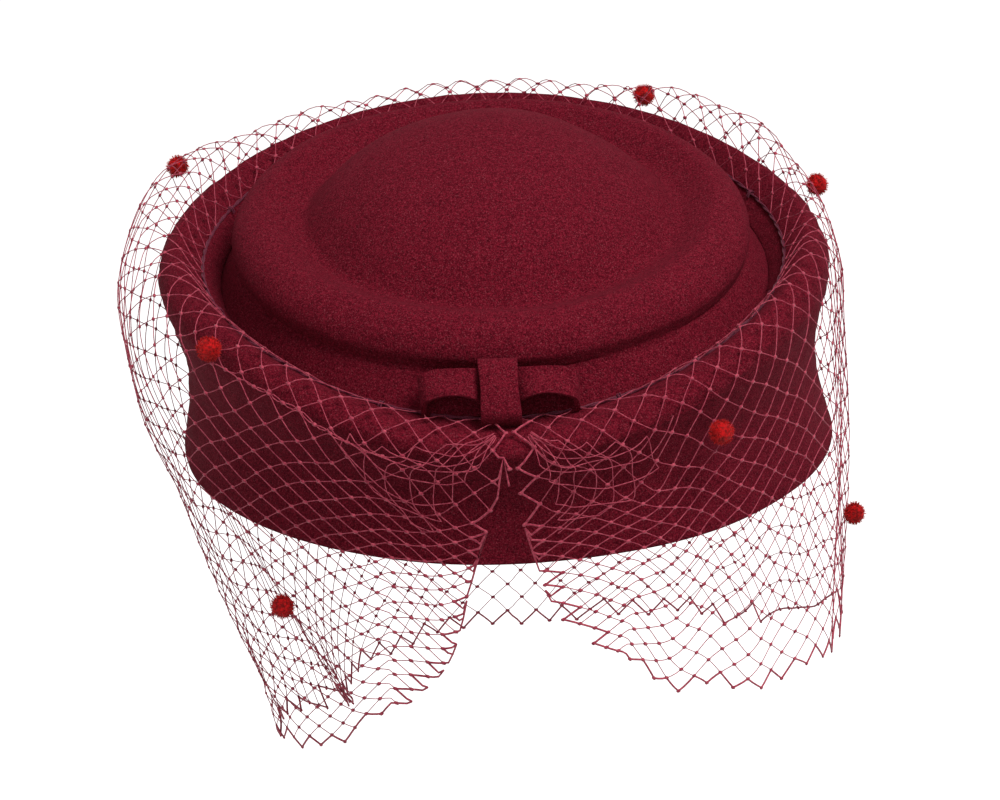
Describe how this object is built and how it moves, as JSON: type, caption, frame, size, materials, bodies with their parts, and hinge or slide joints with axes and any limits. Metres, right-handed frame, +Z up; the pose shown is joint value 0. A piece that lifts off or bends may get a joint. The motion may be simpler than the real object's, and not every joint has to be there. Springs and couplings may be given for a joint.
{
  "type": "veiled felt hat",
  "caption": "Burgundy felt hat with a turned-up brim, stepped crown, flat felt bow and a split net veil with red chenille dots.",
  "frame": {"origin": "middle of the head opening, on the flat underside of the brim", "axes": "+Z up through the crown, -Y to the front where the bow is, +X to the wearer's left hand"},
  "size_m": [0.2769, 0.269, 0.2673],
  "materials": {
    "wool_felt": "matte blocked wool felt",
    "grosgrain_ribbon": "ribbed ribbon",
    "thread": "fine twisted thread",
    "crimson_net": "open diamond netting",
    "red_chenille": "fluffy chenille"
  },
  "bodies": {
    "root": {"bow_centre_strap": "wool_felt", "bow_left_loop": "wool_felt", "bow_right_loop": "wool_felt", "brim": "wool_felt", "chenille_dot_01": "red_chenille", "chenille_dot_02": "red_chenille", "chenille_dot_03": "red_chenille", "chenille_dot_04": "red_chenille", "chenille_dot_05": "red_chenille", "chenille_dot_06": "red_chenille", "chenille_dot_08": "red_chenille", "chenille_dot_09": "red_chenille", "chenille_dot_10": "red_chenille", "chenille_dot_11": "red_chenille", "chenille_dot_12": "red_chenille", "crown": "wool_felt", "hatband": "wool_felt", "sweatband": "grosgrain_ribbon", "sweatband_stitching": "thread", "veil_back": "crimson_net", "veil_gathering_thread": "thread", "veil_left_side": "crimson_net", "veil_right_side": "crimson_net", "veil_tack_1": "thread", "veil_tack_2": "thread", "veil_tack_3": "thread", "veil_tack_4": "thread", "veil_tack_5": "thread", "veil_tack_6": "thread", "veil_tack_7": "thread", "veil_tack_8": "thread", "veil_yoke_left": "crimson_net", "veil_yoke_right": "crimson_net"},
    "veil_left_half": {"veil_front_left": "crimson_net", "chenille_dot_07": "red_chenille"},
    "veil_right_half": {"veil_front_right": "crimson_net"}
  },
  "joints": [
    {"name": "veil_left_lift", "type": "hinge", "parent": "root", "child": "veil_left_half", "pos_m": [-0.06, -0.10392, 0.046], "axis": [-0.866, 0.5, 0], "range_deg": [0, 100]},
    {"name": "veil_right_lift", "type": "hinge", "parent": "root", "child": "veil_right_half", "pos_m": [0.06, -0.10392, 0.046], "axis": [-0.866, -0.5, 0], "range_deg": [0, 100]}
  ]
}
